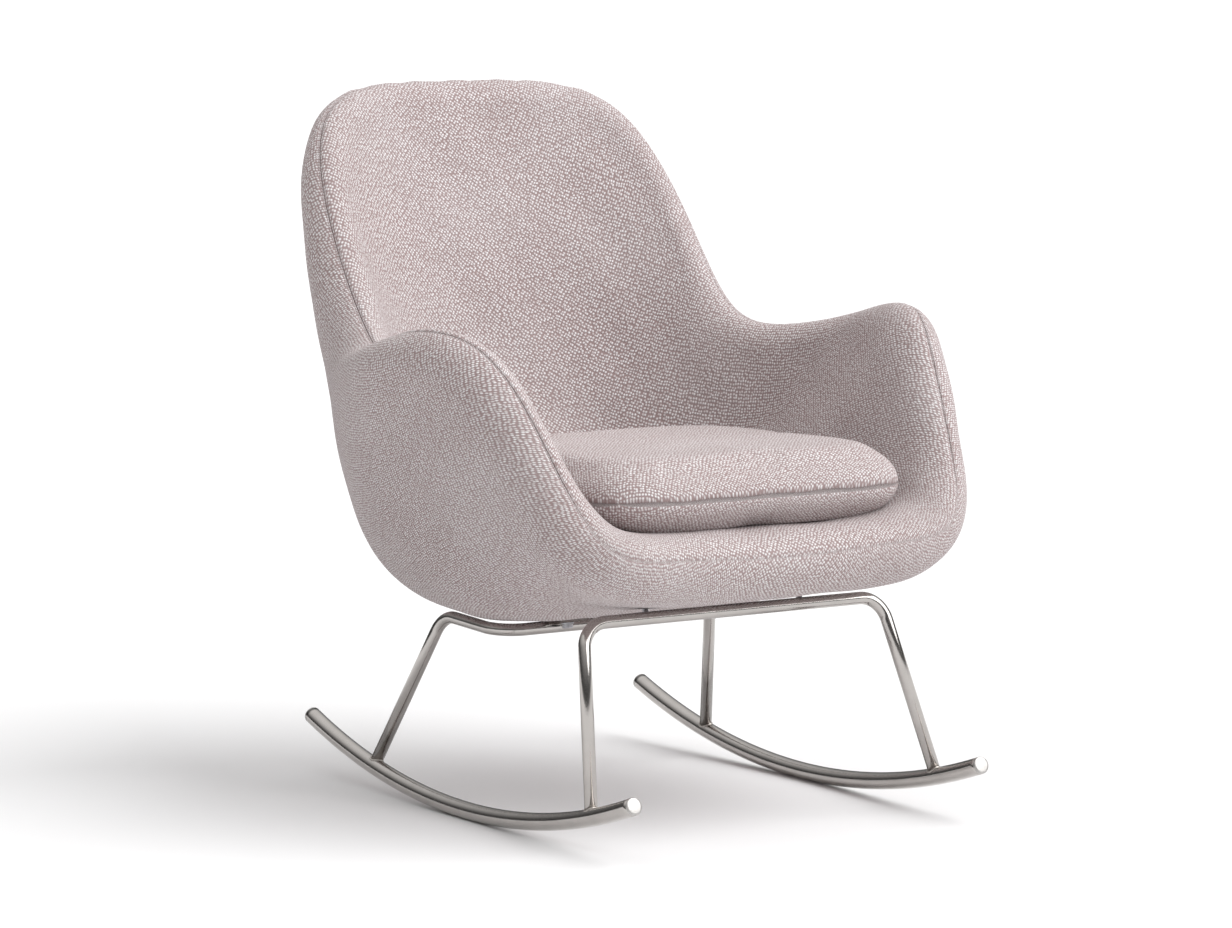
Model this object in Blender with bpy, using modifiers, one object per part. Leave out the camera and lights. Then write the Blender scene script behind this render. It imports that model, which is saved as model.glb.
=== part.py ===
"""Rocking chair: an upholstered bucket shell with a loose seat cushion, on a welded steel-tube base.

Frame: metres, +Z up. The chair faces -Y, and x = 0 is its plane of symmetry.
The origin is on the floor, under the lowest point of the two rockers.
"""
import math
from collections import namedtuple

import bmesh
import bpy
import numpy as np
from mathutils import Matrix, Vector

NAME = "rocking_chair"
GAP = 0.0003                    # left between pieces that touch

# Rockers: two arcs of round tube, parallel, with a plug in each end.
ROCKER_RADIUS = 1.164           # of the arc's centre line
ROCKER_TUBE = 0.011             # radius of the tube
ROCKER_WALL = 0.0025
ROCKER_HALF_GAUGE = 0.257
ROCKER_FRONT = math.radians(19.0)
ROCKER_REAR = math.radians(-19.4)
ROCKER_STEPS = 24
PLUG_FLANGE = 0.0025
PLUG_SPIGOT = 0.014

# Leg bows: one inverted U in front, and one behind that runs forward under the seat.
LEG_TUBE = 0.008
LEG_WALL = 0.002
BEND = 0.036
BEND_STEPS = 5
FRONT_FOOT = math.radians(14.3)
REAR_FOOT = math.radians(-11.3)
FRONT_CORNER = Vector((0.221, -0.214, 0.269))
REAR_TOP = Vector((0.2045, 0.140, 0.236))
REAR_CORNER = Vector((0.200, 0.012, 0.230))

# Fixing of the shell to the base: a tab behind each cross tube, a screw and a boss in the shell.
FIXING_X = 0.115
FIXING_REACH = 0.024            # from the tube's axis to the screw's
TAB_SIZE = (0.040, 0.032, 0.004)
SCREW = 0.004                   # radius of an M8 thread
SCREW_HEAD = (0.0070, 0.0050)   # radius and height
SCREW_LENGTH = 0.034
WASHER = (0.0085, 0.0016)       # radius and thickness
BOSS = 0.010
BOSS_START = 0.0190             # above the tube's axis, inside the cover

# Upholstery.
COVER = 0.002
COVER_EDGE = 0.0018             # least height of a cover's outer face over the seam
FOAM_CLEAR = 0.0026             # foam to the outside of its cover
INNER_BED = 0.0015              # back of the inner foam above the inner datum sheet
OUTER_BED = 0.0145              # least depth of the outer foam's back below the outer datum sheet
OUTER_LAYER = (0.016, 0.007)    # thickness of the outer foam, under the seat and up the back
LAYER_CHANGE = (-20.0, 30.0)    # station angles between which it thins
ROUND_INNER = 1.8               # a pad rounds off over this many times its own depth
ROUND_OUTER = 1.2
HOOP_TUBE = 0.006
HOOP_DEPTH = 0.0075             # below the outer datum sheet
HOOP_RING = 1                   # rings of the grid in from the seam
RIB_TUBE = 0.005
RIB_WALL = 0.0015
RIB_REACH = 0.82                # share of the way to the seam where a rib turns to the hoop
RIB_LIFT = 0.012                # rise of the ribs in the middle, over the hoop's own level
STRAP_ANGLES = (-48, -27, -6, 18, 38, 58)
STRAP_HALF = 4.5                # degrees of the station angle, about 25 mm
STRAP_REACH = 0.80
STRAP_DEPTH = 0.0090
STRAP_THICK = 0.002
RINGS = 8
CROWDING = 1.45                 # power that draws the rings of a grid towards its edge
SPOKES = 36

# Loose seat cushion: a pad with rounded corners, level across and falling to the back.
CUSHION_HALF = (0.224, 0.244)
CUSHION_MIDDLE = Vector((0.0, -0.056, 0.411))
CUSHION_FALL = math.radians(1.7)
CUSHION_SQUARE = 4.5            # power of the outline: 2 is an ellipse, more is squarer
CUSHION_UP = 0.052
CUSHION_DOWN = 0.034
CUSHION_RINGS = 6
CUSHION_SPOKES = 32

# One station of the shell. Each section runs from the seam (x, y, z) down to the middle line
# (mid_y, mid_z) and up the other side; a higher power makes a flatter middle and a steeper side.
Station = namedtuple(
    "Station", "seam_x seam_y seam_z inner_y inner_z inner_power outer_y outer_z outer_power "
               "inner_pad outer_pad")
STATIONS = [                    # from the front lip, every 20 degrees, to the head
    Station(0.000, -0.337, 0.349, -0.337, 0.349, 2.0, -0.337, 0.349, 2.0, 0.026, 0.042),
    Station(0.153, -0.335, 0.355, -0.300, 0.352, 2.6, -0.263, 0.340, 2.6, 0.026, 0.052),
    Station(0.256, -0.322, 0.377, -0.210, 0.348, 3.5, -0.143, 0.318, 3.5, 0.028, 0.048),
    Station(0.296, -0.252, 0.488, -0.080, 0.337, 7.0, 0.002, 0.286, 7.0, 0.030, 0.044),
    Station(0.332, -0.153, 0.605, 0.070, 0.328, 6.2, 0.144, 0.279, 6.0, 0.032, 0.044),
    Station(0.362, -0.011, 0.612, 0.210, 0.345, 4.0, 0.290, 0.294, 3.5, 0.030, 0.042),
    Station(0.294, 0.158, 0.584, 0.305, 0.450, 2.9, 0.390, 0.414, 2.9, 0.026, 0.052),
    Station(0.275, 0.279, 0.688, 0.355, 0.610, 2.3, 0.431, 0.604, 2.3, 0.022, 0.049),
    Station(0.217, 0.405, 0.865, 0.420, 0.800, 2.2, 0.458, 0.799, 2.2, 0.022, 0.032),
    Station(0.000, 0.452, 0.898, 0.452, 0.898, 2.0, 0.452, 0.898, 2.0, 0.022, 0.040),
]


# ---------------------------------------------------------------- scene and materials

def clear_scene():
    for item in list(bpy.data.objects):
        bpy.data.objects.remove(item, do_unlink=True)


def new_collection(name):
    collection = bpy.data.collections.new(name)
    bpy.context.scene.collection.children.link(collection)
    return collection


def material(name, colour, roughness, metallic=0.0):
    result = bpy.data.materials.new(name)
    result.use_nodes = True
    shader = result.node_tree.nodes["Principled BSDF"]
    shader.inputs["Base Color"].default_value = (*colour, 1.0)
    shader.inputs["Roughness"].default_value = roughness
    shader.inputs["Metallic"].default_value = metallic
    result.diffuse_color = (*colour, 1.0)
    return result


def add(name, mesh, look, collection):
    result = bpy.data.objects.new(name, mesh)
    collection.objects.link(result)
    mesh.materials.clear()
    mesh.materials.append(look)
    return result


def as_cutter(item):
    item.hide_render = True
    item.display_type = "WIRE"
    return item


def cut(item, cutter):
    boolean = item.modifiers.new("cut " + cutter.name, "BOOLEAN")
    boolean.operation = "DIFFERENCE"
    boolean.object = cutter


def smooth(mesh, angle=40):
    mesh.shade_smooth()
    mesh.set_sharp_from_angle(angle=math.radians(angle))


# ---------------------------------------------------------------- tubes and turned pieces

def on_rocker(angle, side, radius=ROCKER_RADIUS):
    """Point on a rocker's centre line; the angle is from the contact point, positive to the front."""
    height = ROCKER_TUBE + ROCKER_RADIUS - radius * math.cos(angle)
    return Vector((side * ROCKER_HALF_GAUGE, -radius * math.sin(angle), height))


def rounded(points, radius=BEND, steps=BEND_STEPS):
    """The polyline with an arc of the given radius at each inner corner."""
    path = [points[0]]
    for before, corner, after in zip(points, points[1:], points[2:]):
        back = (before - corner).normalized()
        ahead = (after - corner).normalized()
        half = back.angle(ahead) / 2
        centre = corner + (back + ahead).normalized() * (radius / math.sin(half))
        start = corner + back * (radius / math.tan(half)) - centre
        end = corner + ahead * (radius / math.tan(half)) - centre
        turn = start.rotation_difference(end)
        for step in range(steps + 1):
            part = Matrix.Rotation(turn.angle * step / steps, 3, turn.axis)
            path.append(centre + part @ start)
    path.append(points[-1])
    return path


def tube_mesh(name, points, radius, sides=3, capped=True, cyclic=False):
    """Mesh of a round tube along the points, closed by flat caps or left open-ended."""
    curve = bpy.data.curves.new(name, "CURVE")
    curve.dimensions = "3D"
    curve.bevel_depth = radius
    curve.bevel_resolution = sides
    curve.use_fill_caps = capped
    spline = curve.splines.new("POLY")
    spline.points.add(len(points) - 1)
    spline.points.foreach_set("co", [value for point in points for value in (*point, 1.0)])
    spline.use_cyclic_u = cyclic
    guide = bpy.data.objects.new(name, curve)
    bpy.context.scene.collection.objects.link(guide)
    evaluated = guide.evaluated_get(bpy.context.evaluated_depsgraph_get())
    mesh = bpy.data.meshes.new_from_object(evaluated)
    bpy.data.objects.remove(guide, do_unlink=True)
    bpy.data.curves.remove(curve)
    mesh.name = name
    shape = bmesh.new()
    shape.from_mesh(mesh)
    bmesh.ops.remove_doubles(shape, verts=shape.verts, dist=0.00001)
    bmesh.ops.recalc_face_normals(shape, faces=shape.faces)
    shape.to_mesh(mesh)
    shape.free()
    smooth(mesh)
    return mesh


def hollow(item, wall):
    """Gives an open-ended tube its wall, inwards."""
    solidify = item.modifiers.new("wall", "SOLIDIFY")
    solidify.thickness = wall
    solidify.offset = -1.0
    solidify.use_even_offset = True


def turned(name, profile, look, collection, steps=20):
    """Solid of revolution about +Z from (radius, height) pairs, listed down the outer side.

    A profile that starts off the axis is closed into a ring.
    """
    edges = [(i, i + 1) for i in range(len(profile) - 1)]
    if profile[0][0] > 0:
        edges.append((len(profile) - 1, 0))
    mesh = bpy.data.meshes.new(name)
    mesh.from_pydata([(r, 0.0, z) for r, z in profile], edges, [])
    result = add(name, mesh, look, collection)
    screw = result.modifiers.new("turn", "SCREW")
    screw.steps = steps
    screw.render_steps = steps
    screw.use_merge_vertices = True
    screw.merge_threshold = 0.00001
    screw.use_smooth_shade = False
    return result


def aim(item, position, direction):
    """Places the item with its +Z along the direction."""
    item.location = position
    item.rotation_mode = "QUATERNION"
    item.rotation_quaternion = Vector(direction).to_track_quat("Z", "Y")


# ---------------------------------------------------------------- the shell's surfaces

def spline_weights():
    """Control values of the closed cubic spline through the stations and their mirror images."""
    right = np.array(STATIONS)
    left = right[-2:0:-1].copy()
    left[:, 0] *= -1
    ring = np.vstack([right, left])
    one = np.eye(len(ring))
    system = (4 * one + np.roll(one, 1, 0) + np.roll(one, -1, 0)) / 6
    return np.linalg.solve(system, ring)


CONTROLS = spline_weights()


def stations_at(angle):
    """Every station value at the given angles, in degrees, -90 at the lip and 90 at the head."""
    place = (np.asarray(angle, float) + 90) / 180 * (len(STATIONS) - 1)
    first = np.floor(place).astype(int)
    t = (place - first)[..., None]
    weights = ((1 - t) ** 3 / 6, (3 * t ** 3 - 6 * t ** 2 + 4) / 6,
               (1 + 3 * t + 3 * t ** 2 - 3 * t ** 3) / 6, t ** 3 / 6)
    return sum(w * CONTROLS[(first + k - 1) % len(CONTROLS)] for k, w in enumerate(weights))


def datum(face, angle, across):
    """Point of the inner or outer datum sheet: across is -1 and 1 on the seam, 0 in the middle.

    x = seam_x * across,  (y, z) = middle + (seam - middle) * |across| ** power
    """
    at = stations_at(angle)
    column = 3 if face == "inner" else 6
    rise = np.abs(across) ** at[..., column + 2]
    y = at[..., column] + (at[..., 1] - at[..., column]) * rise
    z = at[..., column + 1] + (at[..., 2] - at[..., column + 1]) * rise
    return np.stack([at[..., 0] * across, y, z], -1)


def polar(radius):
    """Angles and cross positions of polar rows of points over the shell, 1 being the seam."""
    turn = np.arange(SPOKES) * 2 * np.pi / SPOKES
    along = np.clip(radius * np.sin(turn), -1, 1)
    width = np.sqrt(np.clip(1 - along ** 2, 1e-9, None))
    return np.degrees(np.arcsin(along)), np.clip(radius * np.cos(turn) / width, -1, 1)


def disc(face):
    """The polar grid of a face: its rings keep to the same part of each spoke's true length."""
    fine = 1 - np.linspace(1, 0, 241)[:, None] ** 2
    length = to_seam(datum(face, *polar(fine)))
    parts = np.linspace(1, 0, RINGS + 1) ** CROWDING
    radius = [np.interp(spoke[0] * parts, spoke[::-1], fine[::-1, 0]) for spoke in length.T]
    return polar(np.stack(radius, -1))


def grid_normals(points):
    """Unit normals of a polar grid of points, on the sitter's side."""
    outward = np.gradient(points, axis=0)
    around = np.roll(points, -1, 1) - np.roll(points, 1, 1)
    normals = np.cross(outward, around)
    normals[0] = normals[1].mean(0)
    normals /= np.linalg.norm(normals, axis=-1, keepdims=True)
    return normals if normals[0, 0, 2] > 0 else -normals


def to_seam(points):
    """Distance of each grid point to the grid's outer edge, along its own spoke."""
    steps = np.linalg.norm(np.diff(points, axis=0), axis=-1)
    distance = np.zeros(points.shape[:2])
    distance[:-1] = np.cumsum(steps[::-1], 0)[::-1]
    return distance


def skin(face, below=0.0, least=0.0):
    """The upholstered surface of one side as a polar grid of points, lowered by an amount.

    The pad is full in the middle and rounds off at the seam like a quarter of an ellipse,
    where the surface stays at least a small height off the datum sheet.
    """
    angle, across = disc(face)
    points = datum(face, angle, across)
    at = stations_at(angle)
    side, pad, width = (1, at[..., 9], ROUND_INNER)
    if face == "outer":
        side, pad, width = (-1, at[..., 10], ROUND_OUTER)
    part = np.clip(to_seam(points) / (pad * width), 0, 1)
    lift = np.maximum(pad * np.sqrt(1 - (1 - part) ** 2) - below, least)
    return points + side * grid_normals(points) * lift[..., None]


def bed(face, depth):
    """The datum sheet moved to the sitter's side by a constant depth."""
    points = datum(face, *disc(face))
    return points + grid_normals(points) * depth


def outer_layer():
    """Thickness of the outer foam over the polar grid: thick under the seat, thin up the back."""
    low, high = LAYER_CHANGE
    part = np.clip((disc("outer")[0] - low) / (high - low), 0, 1)
    return OUTER_LAYER[0] + (OUTER_LAYER[1] - OUTER_LAYER[0]) * part * part * (3 - 2 * part)


def disc_faces(rings, spokes, start=0):
    """Triangles of a polar grid whose middle is one vertex, numbered from start.

    Every sheet splits its grid along the same diagonals, so layers stay parallel.
    """
    first = start + 1
    faces = [(start, first + j, first + (j + 1) % spokes) for j in range(spokes)]
    for i in range(rings - 1):
        low = first + i * spokes
        for j in range(spokes):
            k = (j + 1) % spokes
            faces.append((low + j, low + spokes + j, low + spokes + k))
            faces.append((low + j, low + spokes + k, low + k))
    return faces


def closed_slab(name, upper, lower):
    """Closed mesh between two polar grids of the same size, joined by a band at their edges."""
    rings, spokes = len(upper) - 1, upper.shape[1]
    count = 1 + rings * spokes
    points = [np.vstack([grid[0, :1], grid[1:].reshape(-1, 3)]) for grid in (upper, lower)]
    faces = disc_faces(rings, spokes)
    faces += [face[::-1] for face in disc_faces(rings, spokes, count)]
    edge = count - spokes
    for j in range(spokes):
        k = (j + 1) % spokes
        faces.append((edge + j, count + edge + j, count + edge + k, edge + k))
    mesh = bpy.data.meshes.new(name)
    mesh.from_pydata(np.vstack(points).tolist(), [], faces)
    shape = bmesh.new()
    shape.from_mesh(mesh)
    bmesh.ops.recalc_face_normals(shape, faces=shape.faces)
    shape.to_mesh(mesh)
    shape.free()
    smooth(mesh)
    return mesh


# ---------------------------------------------------------------- the base

def make_rockers(looks, parts, cutters):
    """Both rockers, their end plugs, and a solid oversize twin of each to cope the legs with."""
    twins = []
    for side, hand in ((-1, "left"), (1, "right")):
        angles = np.linspace(ROCKER_REAR, ROCKER_FRONT, ROCKER_STEPS + 1)
        points = [on_rocker(angle, side) for angle in angles]
        mesh = tube_mesh("rocker_" + hand, points, ROCKER_TUBE, capped=False)
        hollow(add("rocker_" + hand, mesh, looks["steel"], parts), ROCKER_WALL)
        mesh = tube_mesh("cope_" + hand, points, ROCKER_TUBE + GAP)
        twins.append(as_cutter(add("cope_" + hand, mesh, looks["steel"], cutters)))
        for end, way, place in (("front", points[-1] - points[-2], points[-1]),
                                ("rear", points[0] - points[1], points[0])):
            spigot = ROCKER_TUBE - ROCKER_WALL - GAP * 2
            profile = [(0, PLUG_FLANGE), (ROCKER_TUBE * 0.93, PLUG_FLANGE),
                       (ROCKER_TUBE, PLUG_FLANGE * 0.7), (ROCKER_TUBE, 0),
                       (spigot, 0), (spigot, -PLUG_SPIGOT), (0, -PLUG_SPIGOT)]
            plug = turned("plug_" + end + "_" + hand, profile, looks["plug"], parts, steps=16)
            aim(plug, place + way.normalized() * GAP, way)
    return twins


def make_bow(name, half_path, twins, looks, parts):
    """A bent tube through the half path and its mirror image, coped onto the rockers."""
    other = [Vector((-point.x, point.y, point.z)) for point in reversed(half_path)]
    mesh = tube_mesh(name, rounded(half_path + other), LEG_TUBE, sides=2, capped=False)
    bow = add(name, mesh, looks["steel"], parts)
    hollow(bow, LEG_WALL)
    for twin in twins:
        cut(bow, twin)


def fixing_frames():
    """Name, foot on the cross tube's axis, direction along the seat and upward normal of each fixing."""
    slope = (REAR_CORNER - FRONT_CORNER)
    along = Vector((0, slope.y, slope.z)).normalized()
    up = Vector((0, -along.z, along.y))
    frames = []
    for end, corner, way in (("front", FRONT_CORNER, 1), ("rear", REAR_CORNER, -1)):
        for side, hand in ((-1, "left"), (1, "right")):
            axis = Vector((side * FIXING_X, corner.y, corner.z))
            frames.append((end + "_" + hand, axis + along * FIXING_REACH * way, up))
    return frames


def make_fixings(looks, parts, cutters):
    """Tab, washer and screw of each fixing. Returns the cutters for the cover and for the foam."""
    tab_middle = LEG_TUBE - 0.0006 - TAB_SIZE[2] / 2
    tab_bottom = tab_middle - TAB_SIZE[2] / 2
    holes = []
    for name, foot, up in fixing_frames():
        bpy.ops.mesh.primitive_cube_add(size=1)
        tab = bpy.context.object
        tab.data.transform(Matrix.Diagonal((*TAB_SIZE, 1)))
        tab.name = "tab_" + name
        for collection in list(tab.users_collection):
            collection.objects.unlink(tab)
        parts.objects.link(tab)
        tab.data.materials.append(looks["steel"])
        tab.location = foot + up * tab_middle
        tab.rotation_euler.x = math.atan2(-up.y, up.z)
        drill = turned("drill_" + name, [(0, 0.02), (SCREW + 0.0005, 0.02), (SCREW + 0.0005, -0.02),
                                         (0, -0.02)], looks["steel"], cutters)
        aim(as_cutter(drill), tab.location, up)
        cut(tab, drill)
        outer, thick = WASHER
        hole = SCREW + GAP
        top = tab_bottom - GAP
        washer = turned("washer_" + name, [(hole, 0), (outer, 0), (outer, -thick), (hole, -thick),
                                           (hole, 0)], looks["zinc"], parts, steps=16)
        aim(washer, foot + up * top, up)
        seat = top - thick - GAP
        head, height = SCREW_HEAD
        screw = turned("screw_" + name, [(0, SCREW_LENGTH), (SCREW, SCREW_LENGTH), (SCREW, 0), (head, 0),
                                         (head, -height * 0.8), (head * 0.8, -height), (0, -height)],
                       looks["zinc"], parts, steps=16)
        aim(screw, foot + up * seat, up)
        pair = []
        for kind, radius in (("cover", SCREW + 0.001), ("foam", BOSS + 0.001)):
            hole = turned(kind + "_hole_" + name, [(0, 0.07), (radius, 0.07), (radius, -0.02),
                                                   (0, -0.02)], looks["steel"], cutters, steps=12)
            aim(as_cutter(hole), foot, up)
            pair.append(hole)
        holes.append(pair)
    return holes


# ---------------------------------------------------------------- the shell

def sheet_point(face, angle, across, depth):
    """Point beside the datum sheet, moved to the sitter's side by a depth. Arrays are welcome."""
    turn, shift = 0.5, 0.004    # half steps of the angle and of the cross position
    point = datum(face, angle, across)
    along = datum(face, angle + turn, across) - datum(face, angle - turn, across)
    over = datum(face, angle, across + shift) - datum(face, angle, across - shift)
    normal = np.cross(over, along)
    normal /= np.linalg.norm(normal, axis=-1, keepdims=True)
    return point + normal * depth


def hoop_points():
    return [Vector(point) for point in bed("outer", -HOOP_DEPTH)[-1 - HOOP_RING]]


def rib_points(x, hoop):
    """A rib at constant x from the lip over the seat and up the back, ending in the hoop."""
    angles = np.arange(-84.0, 85.0, 6.0)
    seam_x = stations_at(angles)[..., 0]
    across = x / seam_x
    turn = np.radians(angles)
    radius = np.hypot(np.sin(turn), across * np.cos(turn))
    kept = radius < RIB_REACH
    depth = -HOOP_DEPTH + RIB_LIFT * (1 - radius[kept] ** 2)
    points = [Vector(p) for p in sheet_point("outer", angles[kept], across[kept], depth[:, None])]
    crossings = [a.lerp(b, (x - a.x) / (b.x - a.x)) for a, b in zip(hoop, hoop[1:] + hoop[:1])
                 if min(a.x, b.x) <= x < max(a.x, b.x)]
    crossings.sort(key=lambda point: point.y)
    return [crossings[0]] + points + [crossings[-1]]


def make_frame(looks, parts, cutters):
    """The steel frame inside the shell: a hoop near the seam, two ribs and four screw bosses."""
    hoop = hoop_points()
    mesh = tube_mesh("shell_hoop", hoop, HOOP_TUBE, sides=2, cyclic=True)
    add("shell_hoop", mesh, looks["frame"], parts)
    mesh = tube_mesh("cope_hoop", hoop, HOOP_TUBE + GAP, sides=2, cyclic=True)
    twin = as_cutter(add("cope_hoop", mesh, looks["frame"], cutters))
    for side, hand in ((-1, "left"), (1, "right")):
        path = rib_points(side * FIXING_X, hoop)
        mesh = tube_mesh("shell_rib_" + hand, path, RIB_TUBE, sides=2, capped=False)
        rib = add("shell_rib_" + hand, mesh, looks["frame"], parts)
        hollow(rib, RIB_WALL)
        cut(rib, twin)
        for name, foot, up in fixing_frames():
            if name.endswith(hand):
                make_boss(name, foot, up, path, looks, parts)


def make_boss(name, foot, up, rib, looks, parts):
    """A threaded tube from just inside the cover up to the rib above it."""
    heights = []
    for a, b in zip(rib, rib[1:]):
        low, high = sorted(((a - foot).y - (a - foot).dot(up) * up.y, (b - foot).y - (b - foot).dot(up) * up.y))
        if low <= 0 <= high and a.z < 0.4:
            heights.append(min((a - foot).dot(up), (b - foot).dot(up)))
    top = min(heights) - RIB_TUBE - GAP * 2
    inner = SCREW + GAP
    profile = [(inner, top), (BOSS, top), (BOSS, BOSS_START), (inner, BOSS_START), (inner, top)]
    boss = turned("boss_" + name, profile, looks["frame"], parts, steps=16)
    aim(boss, foot, up)


def make_straps(looks, parts):
    """Elastic webbing under the inner foam, from one side of the hoop to the other."""
    across = np.linspace(-STRAP_REACH, STRAP_REACH, 15)
    for number, middle in enumerate(STRAP_ANGLES, start=1):
        angle = np.array([middle - STRAP_HALF, middle + STRAP_HALF])[:, None]
        grid = sheet_point("inner", angle, across[None], -STRAP_DEPTH)
        count = len(across)
        faces = [(i, i + 1, count + i + 1, count + i) for i in range(count - 1)]
        mesh = bpy.data.meshes.new("strap_%d" % number)
        mesh.from_pydata(grid.reshape(-1, 3).tolist(), [], faces)
        strap = add("strap_%d" % number, mesh, looks["webbing"], parts)
        solidify = strap.modifiers.new("webbing", "SOLIDIFY")
        solidify.thickness = STRAP_THICK
        solidify.offset = 0.0


def make_upholstery(holes, looks, parts):
    """Inner and outer foam, and the cover panel over each, which meet along the seam."""
    inner = closed_slab("inner_foam", skin("inner", FOAM_CLEAR)[:-1], bed("inner", INNER_BED)[:-1])
    add("inner_foam", inner, looks["foam"], parts)
    back = skin("outer", FOAM_CLEAR + outer_layer(), OUTER_BED)
    outer = closed_slab("outer_foam", back[:-1], skin("outer", FOAM_CLEAR)[:-1])
    outer_foam = add("outer_foam", outer, looks["foam"], parts)
    covers = {}
    for face in ("inner", "outer"):
        name = face + "_cover"
        sheet = closed_slab(name, skin(face, 0, COVER_EDGE), skin(face, COVER, GAP / 2))
        covers[face] = add(name, sheet, looks["fabric"], parts)
    for cover_hole, foam_hole in holes:
        cut(covers["outer"], cover_hole)
        cut(outer_foam, foam_hole)


# ---------------------------------------------------------------- the cushion

def pillow(height, inset=0.0, least=0.0):
    """Half of the cushion as a polar grid: height is its rise, negative below the seam.

    The outline is |x/a|^n + |y/b|^n = 1, and the rise is height * sqrt(1 - r^4).
    """
    radius = 1 - np.linspace(1, 0, CUSHION_RINGS + 1)[:, None] ** (CROWDING + 0.3)
    turn = np.arange(CUSHION_SPOKES) * 2 * np.pi / CUSHION_SPOKES
    power = 2 / CUSHION_SQUARE
    x = radius * np.sign(np.cos(turn)) * np.abs(np.cos(turn)) ** power
    y = radius * np.sign(np.sin(turn)) * np.abs(np.sin(turn)) ** power
    rise = np.maximum(abs(height) * np.sqrt(1 - radius ** 4) - inset, least)
    rise = np.broadcast_to(math.copysign(1, height) * rise, x.shape)
    return np.stack([x * CUSHION_HALF[0], y * CUSHION_HALF[1], rise], -1)


def make_cushion(looks, parts):
    """The loose cushion: a foam core between two cover panels, parented to an empty at its middle."""
    handle = bpy.data.objects.new("cushion_place", None)
    parts.objects.link(handle)
    handle.location = CUSHION_MIDDLE
    handle.rotation_euler.x = -CUSHION_FALL
    core = closed_slab("cushion_core", pillow(CUSHION_UP, FOAM_CLEAR)[:-1],
                       pillow(-CUSHION_DOWN, FOAM_CLEAR)[:-1])
    pieces = [add("cushion_core", core, looks["foam"], parts)]
    for name, height in (("cushion_cover_top", CUSHION_UP), ("cushion_cover_bottom", -CUSHION_DOWN)):
        sheet = closed_slab(name, pillow(height, 0, COVER_EDGE), pillow(height, COVER, GAP / 2))
        pieces.append(add(name, sheet, looks["fabric"], parts))
    for piece in pieces:
        piece.parent = handle


def main():
    clear_scene()
    parts = new_collection(NAME)
    cutters = new_collection(NAME + "_cutters")
    looks = {
        "steel": material("brushed_steel", (0.52, 0.49, 0.47), 0.24, 1.0),
        "plug": material("plug_steel", (0.72, 0.70, 0.68), 0.40, 1.0),
        "zinc": material("zinc_plated", (0.60, 0.60, 0.62), 0.35, 1.0),
        "frame": material("frame_steel", (0.04, 0.04, 0.045), 0.55, 0.3),
        "webbing": material("elastic_webbing", (0.10, 0.09, 0.08), 0.85),
        "foam": material("moulded_foam", (0.80, 0.76, 0.62), 0.95),
        "fabric": material("woven_wool", (0.60, 0.53, 0.52), 0.95),
    }
    twins = make_rockers(looks, parts, cutters)
    front = [on_rocker(FRONT_FOOT, -1)]
    front.append(Vector((-FRONT_CORNER.x, FRONT_CORNER.y, FRONT_CORNER.z)))
    make_bow("front_leg_bow", front, twins, looks, parts)
    rear = [on_rocker(REAR_FOOT, -1)]
    rear.append(Vector((-REAR_TOP.x, REAR_TOP.y, REAR_TOP.z)))
    rear.append(Vector((-REAR_CORNER.x, REAR_CORNER.y, REAR_CORNER.z)))
    make_bow("rear_leg_bow", rear, twins, looks, parts)
    holes = make_fixings(looks, parts, cutters)
    make_frame(looks, parts, cutters)
    make_straps(looks, parts)
    make_upholstery(holes, looks, parts)
    make_cushion(looks, parts)


if __name__ == "__main__":
    main()
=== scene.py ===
# %% [markdown]
# # A rocking lounge chair
#
# The chair is an upholstered shell on two bent steel bows, which stand on two steel rockers, with a
# loose cushion on the seat.  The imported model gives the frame: where each body is, and how large.
# Every visible surface here is worked out as a grid of points and laid over that frame.

# %% Load the frame
import math
import bpy
import numpy as np
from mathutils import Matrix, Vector


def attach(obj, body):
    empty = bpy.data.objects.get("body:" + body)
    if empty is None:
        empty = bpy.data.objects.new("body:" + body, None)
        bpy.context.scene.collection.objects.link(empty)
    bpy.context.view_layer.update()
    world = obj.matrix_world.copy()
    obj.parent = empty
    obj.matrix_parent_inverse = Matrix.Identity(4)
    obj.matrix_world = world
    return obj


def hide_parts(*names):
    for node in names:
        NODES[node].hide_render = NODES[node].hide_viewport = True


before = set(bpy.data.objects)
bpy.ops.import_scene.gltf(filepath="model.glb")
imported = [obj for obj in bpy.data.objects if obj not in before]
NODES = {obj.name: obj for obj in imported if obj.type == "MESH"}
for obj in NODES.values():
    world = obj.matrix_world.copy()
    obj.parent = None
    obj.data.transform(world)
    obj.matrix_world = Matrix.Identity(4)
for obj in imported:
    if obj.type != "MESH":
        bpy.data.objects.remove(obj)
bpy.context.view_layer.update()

# %% [markdown]
# ## Camera
#
# A long lens from the front left corner, a little above the seat, looks slightly down.  A long lens
# keeps the two rockers nearly parallel, as in a catalogue picture.

# %% Camera
CAMERA_PLACE = Vector((-3.446, -5.238, 1.154))
CAMERA_AIM = Vector((0.5421, 0.8324, -0.1148))

lens = bpy.data.cameras.new("camera")
lens.sensor_width = 36.0
lens.lens = 145.8
lens.clip_end = 1000
camera = bpy.data.objects.new("camera", lens)
bpy.context.scene.collection.objects.link(camera)
camera.location = CAMERA_PLACE
camera.rotation_euler = CAMERA_AIM.to_track_quat("-Z", "Y").to_euler()
bpy.context.scene.camera = camera
print("camera looks down", round(math.degrees(math.asin(-CAMERA_AIM.z)), 2), "degrees")

# %% [markdown]
# ## Meshes from grids
#
# Every new surface is a grid of points: rows along it, columns round it.  It could be modelled by
# hand or with modifiers, but a grid that follows a formula keeps each edge where the frame has it.
# One helper makes the quads of a grid that wraps round, and one makes the fan that closes an end.

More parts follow.
